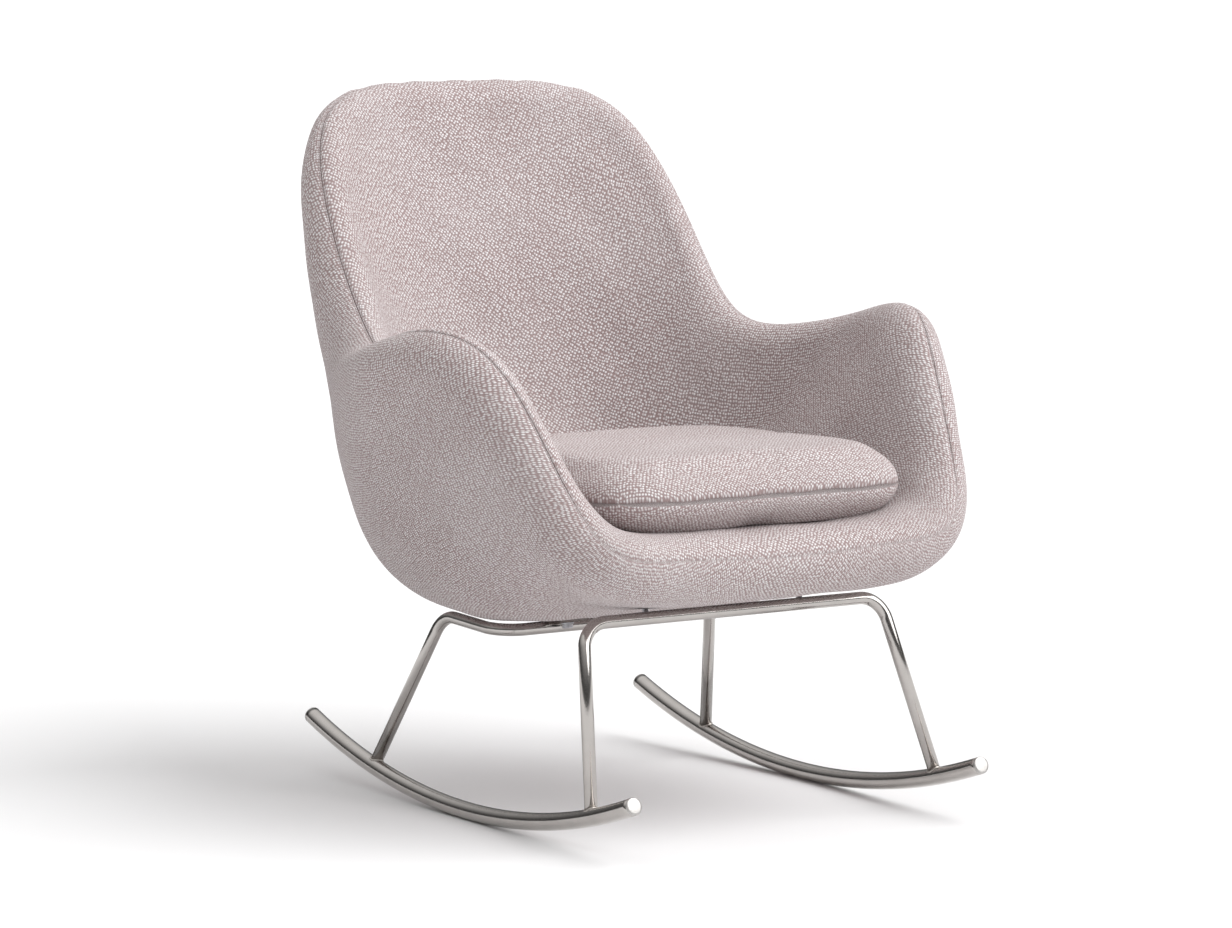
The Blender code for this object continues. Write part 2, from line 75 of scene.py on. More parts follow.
# %% Helpers that make meshes
def make_piece(name, points, faces, body, look, layers=None):
    """Object at the origin from world points and faces, riding on a body.

    The layers are point attributes: a number or a vector for each point.
    """
    mesh = bpy.data.meshes.new(name)
    mesh.from_pydata(points.tolist(), [], faces)
    for label, values in (layers or {}).items():
        kind = "FLOAT" if values.ndim == 1 else "FLOAT_VECTOR"
        layer = mesh.attributes.new(label, kind, "POINT")
        field = "value" if kind == "FLOAT" else "vector"
        layer.data.foreach_set(field, np.ascontiguousarray(values, np.float32).ravel())
    mesh.shade_smooth()
    mesh.materials.append(look)
    piece = bpy.data.objects.new(name, mesh)
    bpy.context.scene.collection.objects.link(piece)
    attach(piece, body)
    return piece


def wrapped_faces(rows, columns, start=0):
    """Quads of a grid whose last column joins the first, for points numbered row by row."""
    i, j = np.meshgrid(np.arange(rows - 1), np.arange(columns), indexing="ij")
    k = (j + 1) % columns
    here, ahead = i * columns, (i + 1) * columns
    quads = np.stack([here + j, here + k, ahead + k, ahead + j], -1)
    return (quads.reshape(-1, 4) + start).tolist()


def fan(pole, first, columns, flip):
    """Triangles from one point to a ring of points."""
    j = np.arange(columns)
    ring = np.stack([np.full(columns, pole), first + j, first + (j + 1) % columns], -1)
    return (ring[:, ::-1] if flip else ring).tolist()

# %% [markdown]
# ## Shader maths
#
# A pattern could be wired node by node, but it is easier to read as a formula.  `Signal` wraps a
# socket, so that `1 - mask * 0.5` adds its own Math nodes, and `Finish.node` adds any other node.

# %% Signal and Finish
class Signal:
    """A number or colour inside a material, with arithmetic."""

    def __init__(self, finish, socket):
        self.finish = finish
        self.socket = socket

    def math(self, operation, *values):
        settings = {"operation": operation}
        return self.finish.node("ShaderNodeMath", settings, dict(enumerate(values)))

    def __add__(self, other):
        return self.math("ADD", self, other)

    def __rsub__(self, other):
        return self.math("SUBTRACT", other, self)

    def __mul__(self, other):
        return self.math("MULTIPLY", self, other)

    __radd__ = __add__
    __rmul__ = __mul__

    def eased(self, low, high):
        """0 below low, 1 above high, and a smooth step between."""
        values = {"Value": self, "From Min": low, "From Max": high}
        return self.finish.node("ShaderNodeMapRange", {"interpolation_type": "SMOOTHSTEP"}, values)


class Finish:
    """A material with one Principled shader."""

    def __init__(self, name, **constants):
        self.material = bpy.data.materials.new(name)
        self.material.use_nodes = True
        self.tree = self.material.node_tree
        self.shader = self.tree.nodes["Principled BSDF"]
        for socket, value in constants.items():
            self.shader.inputs[socket.replace("_", " ")].default_value = value

    def node(self, kind, settings=None, values=None, out=0):
        """Adds a node: its settings first, then the values or links of its sockets."""
        made = self.tree.nodes.new(kind)
        for key, value in (settings or {}).items():
            setattr(made, key, value)
        for key, value in (values or {}).items():
            if isinstance(value, Signal):
                self.tree.links.new(value.socket, made.inputs[key])
            else:
                made.inputs[key].default_value = value
        return Signal(self, made.outputs[out])

    def mix(self, factor, a, b):
        """Colour a where the factor is 0 and b where it is 1."""
        return self.node("ShaderNodeMix", {"data_type": "RGBA"}, {0: factor, 6: a, 7: b}, out=2)

    def stretched(self, place, factors):
        """The place multiplied by a factor in each direction."""
        settings = {"operation": "MULTIPLY"}
        return self.node("ShaderNodeVectorMath", settings, {0: place, 1: factors})

    def noise(self, place, scale, detail=2.0, out="Fac"):
        """Soft noise, with scale features per metre of the place."""
        values = {"Vector": place, "Scale": scale, "Detail": detail}
        return self.node("ShaderNodeTexNoise", None, values, out=out)

    def wear(self, socket, signal):
        """Links a signal to a socket of the shader."""
        self.tree.links.new(signal.socket, self.shader.inputs[socket])

    def raise_bump(self, height, distance, strength):
        """Lets a height, 0 to 1, stand up by a distance in metres."""
        values = {"Height": height, "Distance": distance, "Strength": strength}
        self.wear("Normal", self.node("ShaderNodeBump", None, values))

# %% [markdown]
# ## The cloth
#
# The cover is a coarse wool weave: pale knops, one every 4 mm, stand up between mauve and taupe
# ground threads.  Sine waves could draw a regular weave, but this one wanders, so a cell pattern
# with some randomness gives the knops, in rough diagonal rows.  It reads the attribute `cloth`,
# which is the panel laid flat in metres, so that the rows follow the upholstery instead of slicing
# through it.  Streaks are single darker yarns, and patches are where the pile lies another way.

# %% Cloth finish
KNOP_PITCH = 0.0041
KNOP_JITTER = 0.42
KNOP_EDGE = (0.10, 0.54)              # where a knop starts to fall and where it ends, in pitches
KNOP_RELIEF = 0.0009
ROW_ANGLE = math.radians(38)
ROW_DRIFT = 0.006                     # how far the rows wander, in metres
YARN_STRETCH = (9.0, 170.0, 1.0)      # streaks per metre along and across a yarn
DRIFT_SCALE = 26.0                    # wanderings, fibres and patches per metre
FIBRE_SCALE = 900.0
PATCH_SCALE = 5.0
BLUSH_SHARE = 0.6                     # how far each tint covers what is under it
STREAK_SHARE = 0.22
PATCH_SHARE = 0.10
SEAM_SHARE = 0.85
WOOL = (0.840, 0.822, 0.832, 1)
BLUSH = (0.560, 0.480, 0.478, 1)
GROUND = (0.320, 0.240, 0.236, 1)
SEAM_SHADE = (0.170, 0.125, 0.120, 1)


def woven_wool(name):
    """Knops over a ground, with streaks, patches, fibres and a dark line at the seams."""
    cloth = Finish(name, Roughness=0.93, Sheen_Weight=0.18, Sheen_Roughness=0.45,
                   Specular_IOR_Level=0.22)
    flat = cloth.node("ShaderNodeAttribute", {"attribute_name": "cloth"}, out="Vector")
    drift = cloth.node("ShaderNodeVectorMath", {"operation": "SCALE"},
                       {0: cloth.noise(flat, DRIFT_SCALE, out="Color"), "Scale": ROW_DRIFT})
    place = cloth.node("ShaderNodeVectorMath", {"operation": "ADD"}, {0: flat, 1: drift})
    turned = cloth.node("ShaderNodeVectorRotate", {"rotation_type": "Z_AXIS"},
                        {"Vector": place, "Angle": ROW_ANGLE})
    cell = {"Vector": turned, "Scale": 1 / KNOP_PITCH, "Randomness": KNOP_JITTER}
    flat_cells = {"voronoi_dimensions": "2D"}
    knop = 1 - cloth.node("ShaderNodeTexVoronoi", flat_cells, cell, out="Distance").eased(*KNOP_EDGE)
    tint = cloth.node("ShaderNodeTexVoronoi", flat_cells, cell, out="Color")
    blush = cloth.node("ShaderNodeSeparateColor", None, {"Color": tint}, out="Red").eased(0.2, 1.0)
    fibre = cloth.noise(flat, FIBRE_SCALE, 1.0)
    streak = cloth.noise(cloth.stretched(place, YARN_STRETCH), 1.0, 1.0)
    patch = cloth.noise(flat, PATCH_SCALE, 1.0)
    wool = cloth.mix(blush * BLUSH_SHARE, WOOL, BLUSH)
    colour = cloth.mix(knop * (0.75 + fibre * 0.5), GROUND, wool)
    colour = cloth.mix(streak.eased(0.42, 0.75) * STREAK_SHARE, colour, GROUND)
    colour = cloth.mix(patch.eased(0.35, 0.8) * PATCH_SHARE, colour, WOOL)
    seam = cloth.node("ShaderNodeAttribute", {"attribute_name": "seam"}, out="Fac")
    cloth.wear("Base Color", cloth.mix(seam * seam * SEAM_SHARE, colour, SEAM_SHADE))
    cloth.raise_bump(knop + fibre * 0.35, KNOP_RELIEF, 0.75)
    return cloth.material


COVER_CLOTH = woven_wool("cover_wool")
print("knops per metre:", round(1 / KNOP_PITCH))

# %% [markdown]
# ## The steels
#
# The rockers and bows are stainless tube, brushed along its length and then polished soft.  An
# anisotropic shader could blur the reflections one way, but it is lost on export, so the brush marks
# are long thin noise along the attribute `lie`, which is (length, girth) in metres.  The small parts
# have no long direction, and get a fine even grain.

# %% Steel finishes
BRUSH_STRETCH = (14.0, 2600.0, 1.0)   # brush marks per metre, along and round the tube
BRUSH_DEPTH = 0.00004
GRAIN_DEPTH = 0.0001


def brushed_tube(name, colour, roughness):
    """Polished steel with marks along it and slightly darker clouds."""
    steel = Finish(name, Metallic=1.0, Base_Color=(*colour, 1))
    lie = steel.node("ShaderNodeAttribute", {"attribute_name": "lie"}, out="Vector")
    brush = steel.noise(steel.stretched(lie, BRUSH_STRETCH), 1.0, 2.0)
    cloud = steel.noise(lie, 38.0, 3.0)
    dark = tuple(0.86 * c for c in colour) + (1,)
    steel.wear("Base Color", steel.mix(cloud.eased(0.35, 0.75) * 0.5, (*colour, 1), dark))
    steel.wear("Roughness", roughness + brush * 0.10 + cloud * 0.06)
    steel.raise_bump(brush, BRUSH_DEPTH, 0.5)
    return steel.material


def plain_metal(name, colour, roughness, metallic=1.0):
    """Metal, or paint on metal, with a fine grain that is a little darker and rougher."""
    metal = Finish(name, Metallic=metallic)
    place = metal.node("ShaderNodeTexCoord", out="Object")
    grain = metal.noise(place, 420.0, 3.0)
    dark = tuple(0.8 * c for c in colour) + (1,)
    metal.wear("Base Color", metal.mix(grain.eased(0.4, 0.7) * 0.6, (*colour, 1), dark))
    metal.wear("Roughness", roughness + grain * 0.15)
    metal.raise_bump(grain, GRAIN_DEPTH, 0.4)
    return metal.material


TUBE_STEEL = brushed_tube("tube_steel", (0.49, 0.465, 0.445), 0.08)
PLUG_STEEL = plain_metal("plug_satin", (0.52, 0.505, 0.49), 0.34)
WELD_STEEL = plain_metal("weld_bead", (0.50, 0.47, 0.44), 0.30)
ZINC = plain_metal("zinc_plate", (0.60, 0.60, 0.63), 0.30)
FRAME_COAT = plain_metal("frame_coat", (0.045, 0.045, 0.05), 0.45, 0.2)

# %% [markdown]
# ## The webbing
#
# Under the seat padding, black elastic tape runs from side to side.  Its ribs could be modelled, but
# they are too fine for that, so noise that is pulled long across the chair colours and raises them.

# %% Webbing finish
RIB_STRETCH = (40.0, 700.0, 700.0)    # ribs per metre along x, y and z
RIB_HEIGHT = 0.0005


def webbing():
    """Black elastic tape with fine ribs."""
    tape = Finish("webbing_black", Roughness=0.85)
    place = tape.node("ShaderNodeTexCoord", out="Object")
    rib = tape.noise(tape.stretched(place, RIB_STRETCH), 1.0, 1.0)
    tape.wear("Base Color", tape.mix(rib, (0.03, 0.028, 0.026, 1), (0.14, 0.125, 0.115, 1)))
    tape.raise_bump(rib, RIB_HEIGHT, 0.6)
    return tape.material


WEBBING = webbing()

# %% [markdown]
# ## Parts that the frame already shapes well
#
# The screws, washers, tabs, inner steel frame and webbing keep their solids, and only get a finish.

# %% Finish the carried-over parts
CARRIED = {"tab_": TUBE_STEEL, "screw_": ZINC, "washer_": ZINC, "boss_": FRAME_COAT,
           "shell_": FRAME_COAT, "strap_": WEBBING}
for node_name, node in NODES.items():
    for prefix, look in CARRIED.items():
        if node_name.startswith(prefix):
            node.data.materials.clear()
            node.data.materials.append(look)
print("carried over:", sum(n.startswith(tuple(CARRIED)) for n in NODES))

# %% [markdown]
# ## Tubes
#
# A bent tube is a circle carried along a path.  A curve with a bevel would also do, but it has no
# attribute for the brush marks.  At each point of the path the circle lies square to the tangent:
# point = path + radius * (cos(turn) * side + sin(turn) * up).  The two directions come from one
# fixed reference, which is never along the tube, so the circle doesn't twist at the bends.

# %% Tube helper
TUBE_COLUMNS = 40


def tube(name, path, radius, reference, body, look, columns=TUBE_COLUMNS, closed=False):
    """Circle of the given radius carried along an array of points.

    The ends of an open path are fanned shut, and the last point of a closed one joins the first.
    """
    path = np.asarray(path, float)
    tangent = np.roll(path, -1, 0) - np.roll(path, 1, 0) if closed else np.gradient(path, axis=0)
    tangent /= np.linalg.norm(tangent, axis=1, keepdims=True)
    side = np.cross(tangent, reference)
    side /= np.linalg.norm(side, axis=1, keepdims=True)
    up = np.cross(tangent, side)
    turn = np.linspace(0, 2 * np.pi, columns, endpoint=False)
    ring = np.cos(turn)[:, None] * side[:, None] + np.sin(turn)[:, None] * up[:, None]
    grid = path[:, None] + radius * ring
    run = np.concatenate([[0], np.cumsum(np.linalg.norm(np.diff(path, axis=0), axis=1))])
    girth = np.abs(turn - np.pi) * radius
    lie = np.stack(np.broadcast_arrays(run[:, None], girth, 0.0), -1).reshape(-1, 3)
    rows = len(path)
    if closed:
        faces = (np.array(wrapped_faces(rows + 1, columns)) % (rows * columns)).tolist()
        return make_piece(name, grid.reshape(-1, 3), faces, body, look, {"lie": lie})
    points = np.vstack([grid.reshape(-1, 3), path[:1], path[-1:]])
    lie = np.vstack([lie, lie[:1], lie[-1:]])
    faces = wrapped_faces(rows, columns)
    faces += fan(rows * columns, 0, columns, True)
    faces += fan(rows * columns + 1, (rows - 1) * columns, columns, False)
    return make_piece(name, points, faces, body, look, {"lie": lie})

# %% [markdown]
# ## Rockers
#
# Each rocker is a 22 mm tube bent to an arc of 1.16 m radius, which touches the floor at y = 0, so
# its centre line is one formula.  Its ends are closed by satin plugs with just eased rims.  A plug
# is turned on a lathe, and so is its mesh: a profile turned about the direction it faces.

# %% Rockers and plugs
ROCKER_RADIUS = 1.164
ROCKER_TUBE = 0.011
HALF_GAUGE = 0.257
ROCKER_ENDS = (math.radians(-19.4), math.radians(19.0))
ROCKER_POINTS = 121
PLUG_PROFILE = ((0.0000, 0.0026), (0.0080, 0.0026), (0.0100, 0.0023), (0.0107, 0.0016),
                (0.0110, 0.0006), (0.0110, 0.0000), (0.0080, 0.0000), (0.0080, -0.0060))


def on_rocker(angle, side):
    """Centre line: x = side * gauge, y = -R sin(angle), z = r + R - R cos(angle)."""
    angle = np.asarray(angle, float)
    x = np.full(angle.shape, side * HALF_GAUGE)
    height = ROCKER_TUBE + ROCKER_RADIUS * (1 - np.cos(angle))
    return np.stack([x, -ROCKER_RADIUS * np.sin(angle), height], -1)


def turned_plug(name, place, way, replaced):
    """The plug's profile, (radius, height), turned about the direction it faces."""
    side = np.array([1.0, 0.0, 0.0])
    up = np.cross(way, side)
    turn = np.linspace(0, 2 * np.pi, TUBE_COLUMNS, endpoint=False)
    profile = np.array(PLUG_PROFILE[1:])
    around = np.cos(turn)[:, None] * side + np.sin(turn)[:, None] * up
    grid = place + profile[:, None, :1] * around + profile[:, None, 1:] * way
    rows = len(profile)
    ends = place + np.outer((PLUG_PROFILE[0][1], profile[-1][1]), way)
    points = np.vstack([grid.reshape(-1, 3), ends])
    faces = [face[::-1] for face in wrapped_faces(rows, TUBE_COLUMNS)]
    faces += fan(rows * TUBE_COLUMNS, 0, TUBE_COLUMNS, False)
    faces += fan(rows * TUBE_COLUMNS + 1, (rows - 1) * TUBE_COLUMNS, TUBE_COLUMNS, True)
    plug = make_piece(name, points, faces, "chair", PLUG_STEEL)
    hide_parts(replaced)


for side, hand in ((-1, "left"), (1, "right")):
    arc = on_rocker(np.linspace(*ROCKER_ENDS, ROCKER_POINTS), side)
    rocker = tube("rocker_tube_" + hand, arc, ROCKER_TUBE, (1, 0, 0),
                  "chair", TUBE_STEEL)
    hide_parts("rocker_" + hand)
    for end, tip, before in (("rear", arc[0], arc[1]), ("front", arc[-1], arc[-2])):
        way = (tip - before) / np.linalg.norm(tip - before)
        turned_plug("end_plug_%s_%s" % (end, hand), tip, way, "plug_%s_%s" % (end, hand))
print("rocker length:", round(ROCKER_RADIUS * (ROCKER_ENDS[1] - ROCKER_ENDS[0]), 3), "m")

# %% [markdown]
# ## Leg bows
#
# Each bow is one 16 mm tube.  The front one is an upside-down U.  The rear one rises, bends forward
# under the seat, and then crosses.  A tube bender makes a bend as an arc that touches both straights,
# and so does `rounded`.  A thin bead of weld runs round each foot, where two cylinders meet.

# %% Leg bows
LEG_TUBE = 0.008
BEND = 0.036
BEND_POINTS = 24
FRONT_FOOT = math.radians(14.3)
REAR_FOOT = math.radians(-11.3)
FRONT_CORNER = np.array([-0.221, -0.214, 0.269])
REAR_TOP = np.array([-0.2045, 0.140, 0.236])
REAR_CORNER = np.array([-0.200, 0.012, 0.230])
MIRROR = np.array([-1.0, 1.0, 1.0])
BOW_REFERENCE = (0.0, -0.6, -0.8)
WELD_RADIUS = 0.0014
WELD_POINTS = 64
WELD_COLUMNS = 12


def unit(vector):
    """The vector at length 1."""
    return vector / np.linalg.norm(vector)


def rounded(corners):
    """The polyline with each inner corner replaced by an arc of radius BEND."""
    path = [corners[0][None]]
    for before, corner, after in zip(corners, corners[1:], corners[2:]):
        back, ahead = unit(before - corner), unit(after - corner)
        half = math.acos(np.clip(back @ ahead, -1, 1)) / 2
        centre = corner + unit(back + ahead) * BEND / math.sin(half)
        start = unit(corner + back * BEND / math.tan(half) - centre)
        end = unit(corner + ahead * BEND / math.tan(half) - centre)
        sweep = math.pi - 2 * half
        part = np.linspace(0, 1, BEND_POINTS)[:, None]
        arc = (np.sin((1 - part) * sweep) * start + np.sin(part * sweep) * end) / math.sin(sweep)
        path.append(centre + BEND * arc)
    return np.vstack(path + [corners[-1][None]])


def weld(name, foot, leg, along):
    """Bead along the curve where the leg meets the rocker, both taken as straight cylinders there.

    A point of the curve is foot + leg * h + r * (cos(turn) * e1 + sin(turn) * e2), where h solves
    |P (leg * h + q)| = R, and P removes what is along the rocker.
    """
    e1 = unit(along - leg * (along @ leg))
    e2 = np.cross(leg, e1)
    turn = np.linspace(0, 2 * np.pi, WELD_POINTS, endpoint=False)[:, None]
    q = LEG_TUBE * (np.cos(turn) * e1 + np.sin(turn) * e2)
    flat_leg = leg - along * (leg @ along)
    flat_q = q - along * (q @ along)[:, None]
    a, b = flat_leg @ flat_leg, flat_q @ flat_leg
    c = (flat_q ** 2).sum(1) - ROCKER_TUBE ** 2
    height = (-b + np.sqrt(b * b - a * c)) / a
    curve = foot + leg * height[:, None] + q
    tube(name, curve, WELD_RADIUS, leg, "chair", WELD_STEEL,
         columns=WELD_COLUMNS, closed=True)


def bow(name, half, foot_angle, replaced):
    """Tube through the corners of one half and their mirror images, with a weld at each foot."""
    path = rounded(half + [point * MIRROR for point in reversed(half)])
    made = tube(name, path, LEG_TUBE, BOW_REFERENCE, "chair", TUBE_STEEL)
    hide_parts(replaced)
    along = np.array([0.0, -math.cos(foot_angle), math.sin(foot_angle)])
    leg = unit(half[1] - half[0])
    weld(name + "_weld_left", half[0], leg, along)
    weld(name + "_weld_right", half[0] * MIRROR, leg * MIRROR, along)
    length = float(np.linalg.norm(np.diff(path, axis=0), axis=1).sum())
    print(name, "length:", round(length, 3), "m")


bow("front_bow_tube", [on_rocker(FRONT_FOOT, -1), FRONT_CORNER], FRONT_FOOT, "front_leg_bow")
bow("rear_bow_tube", [on_rocker(REAR_FOOT, -1), REAR_TOP, REAR_CORNER], REAR_FOOT, "rear_leg_bow")

# %% [markdown]
# ## The shell's shape
#
# The shell is two sheets that meet along one seam, which runs over the front lip, up over the arms
# and round the head.  Sculpting could give such a shape too, but not one that a few numbers change.
# Ten stations, every 20 degrees from the lip to the head, say where the seam is and how deep each
# sheet hangs between its two sides.  A closed cubic spline joins the stations with their mirror
# images, so the seam has no corner anywhere.

# %% Stations and datum sheets
STATIONS = (  # seam x, y, z | inner y, z, power | outer y, z, power | inner pad, outer pad
    (0.000, -0.337, 0.349, -0.337, 0.349, 2.0, -0.337, 0.349, 2.0, 0.026, 0.042),
    (0.153, -0.335, 0.355, -0.300, 0.352, 2.6, -0.263, 0.340, 2.6, 0.026, 0.052),
    (0.256, -0.322, 0.377, -0.210, 0.348, 3.5, -0.143, 0.316, 3.5, 0.028, 0.048),
    (0.296, -0.252, 0.488, -0.080, 0.337, 7.0, 0.002, 0.283, 7.0, 0.030, 0.044),
    (0.332, -0.153, 0.605, 0.070, 0.328, 6.2, 0.144, 0.276, 6.0, 0.032, 0.044),
    (0.362, -0.011, 0.612, 0.210, 0.345, 4.0, 0.290, 0.292, 3.5, 0.030, 0.042),
    (0.294, 0.158, 0.584, 0.305, 0.450, 2.9, 0.390, 0.414, 2.9, 0.026, 0.052),
    (0.275, 0.279, 0.688, 0.355, 0.610, 2.3, 0.431, 0.604, 2.3, 0.022, 0.049),
    (0.217, 0.405, 0.865, 0.420, 0.800, 2.2, 0.458, 0.799, 2.2, 0.022, 0.032),
    (0.000, 0.452, 0.898, 0.452, 0.898, 2.0, 0.452, 0.898, 2.0, 0.022, 0.040),
)


def spline_controls():
    """Solves (before + 4 here + after) / 6 = station, all round the seam, for the control values."""
    right = np.array(STATIONS)
    left = right[-2:0:-1].copy()
    left[:, 0] *= -1
    ring = np.vstack([right, left])
    one = np.eye(len(ring))
    return np.linalg.solve((4 * one + np.roll(one, 1, 0) + np.roll(one, -1, 0)) / 6, ring)


CONTROLS = spline_controls()


def stations_at(angle):
    """All eleven station values at any angle in degrees, -90 at the lip and 90 at the head."""
    place = (np.asarray(angle, float) + 90) / 180 * (len(STATIONS) - 1)
    first = np.floor(place).astype(int)
    t = (place - first)[..., None]
    weights = ((1 - t) ** 3, 3 * t ** 3 - 6 * t ** 2 + 4, 1 + 3 * t + 3 * t ** 2 - 3 * t ** 3, t ** 3)
    return sum(w * CONTROLS[(first + k - 1) % len(CONTROLS)] for k, w in enumerate(weights)) / 6


def datum(face, angle, across):
    """x = seam_x * across,  (y, z) = middle + (seam - middle) * |across| ** power."""
    at = stations_at(angle)
    column = 3 if face == "inner" else 6
    rise = np.abs(across) ** at[..., column + 2]
    y = at[..., column] + (at[..., 1] - at[..., column]) * rise
    z = at[..., column + 1] + (at[..., 2] - at[..., column + 1]) * rise
    return np.stack([at[..., 0] * across, y, z], -1)

# %% [markdown]
# ## Laying out the grid
#
# A square grid would leave four corners on a seam that has none, so the grid is polar: spokes from
# the middle of the seat out to the seam.  Its rings are close together at the seam, where the
# padding rolls over and the stitched groove needs small faces.

# %% The polar grid
SPOKES = 320
RIM_RINGS = 34
FIELD_RINGS = 54
RIM_REACH = 0.075                     # width of the closely spaced part, in metres
RIM_CROWDING = 1.6                    # how much closer its last rings are
FINE_RINGS = 600                      # for measuring along the spokes
ROUND = {"inner": 1.8, "outer": 1.2}  # width of the roll at the seam, in paddings
TURN = np.arange(SPOKES) * 2 * np.pi / SPOKES


def polar(radius):
    """Angle and cross position of points at a radius, 1 being the seam, on every spoke."""
    along = np.clip(radius * np.sin(TURN), -1, 1)
    width = np.sqrt(np.clip(1 - along ** 2, 1e-9, None))
    return np.degrees(np.arcsin(along)), np.clip(radius * np.cos(TURN) / width, -1, 1)


def to_seam(points):
    """Distance of each grid point to the seam, along its own spoke."""
    steps = np.linalg.norm(np.diff(points, axis=0), axis=-1)
    distance = np.zeros(points.shape[:2])
    distance[:-1] = np.cumsum(steps[::-1], 0)[::-1]
    return distance


def laid_out(face):
    """Polar grid whose rings lie at chosen true distances from the seam, on each spoke."""
    fine = 1 - np.linspace(1, 0, FINE_RINGS)[:, None] ** 2
    length = to_seam(datum(face, *polar(fine)))
    roll = np.linspace(1, 0, RIM_RINGS + 1) ** RIM_CROWDING
    rim = RIM_REACH * (1 - np.cos(roll * np.pi / 2))
    field = np.linspace(1, 0, FIELD_RINGS, endpoint=False)
    radius = []
    for spoke in length.T:
        wanted = np.concatenate([RIM_REACH + (spoke[0] - RIM_REACH) * field, rim])
        radius.append(np.interp(wanted, spoke[::-1], fine[::-1, 0]))
    return polar(np.stack(radius, -1))


def grid_normals(points):
    """Unit normals of a polar grid, on the sitter's side."""
    outward = np.gradient(points, axis=0)
    around = np.roll(points, -1, 1) - np.roll(points, 1, 1)
    normals = np.cross(outward, around)
    normals[0] = normals[1].mean(0)
    normals /= np.linalg.norm(normals, axis=-1, keepdims=True)
    return normals if normals[0, 0, 2] > 0 else -normals

# %% [markdown]
# ## Padding and seam
#
# Over each sheet the padding stands up and rolls over at the seam like a quarter of an ellipse:
# lift = pad * sqrt(1 - (1 - d / reach)^2), with d the distance to the seam.  The thread draws the
# seam in by 2.4 mm on the arms and head, and by a fifth of that on the lip.  The cover is stretched
# over moulded foam, so it has no folds of its own to simulate, but long shallow waves keep it from
# looking machined.

# %% Upholstered surface
GROOVE_DEPTH = 0.0024
GROOVE_HALF = 0.0030
SEAM_LINE = 0.0021            # half width of the dark line in the groove
LIP_FADE = (0.37, 0.46)       # heights between which the seam sharpens, from the lip up
LIP_SEAM = 0.2                # how sharp it is on the lip, where 1 is a full groove
WAVE_START = 0.02             # distances from the seam at which the waves begin
GATHER_END = 0.05             # and the gathers end
BACK_DEPTH = 0.012            # from the cover to the back of its padding,
BACK_SHARE = 0.3              # which keeps at least this share of the lift
WAVES = (  # direction and waves per metre, phase, height in metres
    ((7.0, 3.0, 5.0), 0.4, 0.00050),
    ((-4.0, 9.0, 6.0), 1.9, 0.00045),
    ((11.0, -6.0, 8.0), 3.1, 0.00035),
    ((5.0, 13.0, -9.0), 0.9, 0.00030),
)
GATHER_HEIGHT = 0.0008
GATHER_FADE = (0.84, 0.05)    # height where the gathers begin, and over how much they grow
GATHER_WAVES = (17, 0.8, 29, 0.6)     # waves per metre and phase, finer waves and their share
RIM_STEP = 0.985              # radius at which the direction out of the seam is taken


def waves(points):
    """Sum of long sine waves through space, in metres."""
    return sum(height * np.sin(2 * np.pi * (points @ np.array(way)) + phase)
               for way, phase, height in WAVES)


def gathers(points):
    """Small folds where the cover is pulled over the head: waves along x that die away below."""
    near_head = np.clip((points[..., 2] - GATHER_FADE[0]) / GATHER_FADE[1], 0, 1) ** 2
    coarse, phase, fine, share = GATHER_WAVES
    turn = 2 * np.pi * points[..., 0]
    return GATHER_HEIGHT * near_head * (np.sin(turn * coarse + phase) + share * np.sin(turn * fine))


def rim_way():
    """Direction out of the seam on each spoke, shared by both panels so that they stay joined."""
    ways = []
    for face in ("inner", "outer"):
        edge = datum(face, *polar(np.array([[RIM_STEP], [1.0]])))
        ways.append(edge[1] - edge[0])
        ways[-1] /= np.linalg.norm(ways[-1], axis=-1, keepdims=True)
    way = ways[0] + ways[1]
    return way / np.linalg.norm(way, axis=-1, keepdims=True)


RIM_WAY = rim_way()


def upholstered(face):
    """Returns the surface's points, the back of its padding, the cloth layout and the seam mask."""
    angle, across = laid_out(face)
    sheet = datum(face, angle, across)
    at = stations_at(angle)
    pad = at[..., 9 if face == "inner" else 10]
    part = np.clip(to_seam(sheet) / (pad * ROUND[face]), 0, 1)
    lift = pad * np.sqrt(1 - (1 - part) ** 2)
    side = 1 if face == "inner" else -1
    normal = side * grid_normals(sheet)
    top = sheet + normal * lift[..., None]
    run = to_seam(top)
    away = 1 - np.exp(-(run / WAVE_START) ** 2)
    top = top + normal * (waves(sheet) * away)[..., None]
    sharp = np.clip((sheet[-1, :, 2] - LIP_FADE[0]) / (LIP_FADE[1] - LIP_FADE[0]), LIP_SEAM, 1)
    pull = -GROOVE_DEPTH * sharp * np.exp(-(run / GROOVE_HALF) ** 2)
    pull = pull + gathers(top) * np.exp(-(run / GATHER_END) ** 2)
    top = top + RIM_WAY * pull[..., None]
    back = top - normal * (lift - np.maximum(lift - BACK_DEPTH, BACK_SHARE * lift))[..., None]
    seam = sharp * np.exp(-(run / SEAM_LINE) ** 2)
    return top, back, cloth_layout(face, angle, across, sheet, top), seam


LAYOUT_STEPS = 16             # for measuring a line across the sheet
CENTRE_POINTS = 721           # and the centre line from the lip to the head


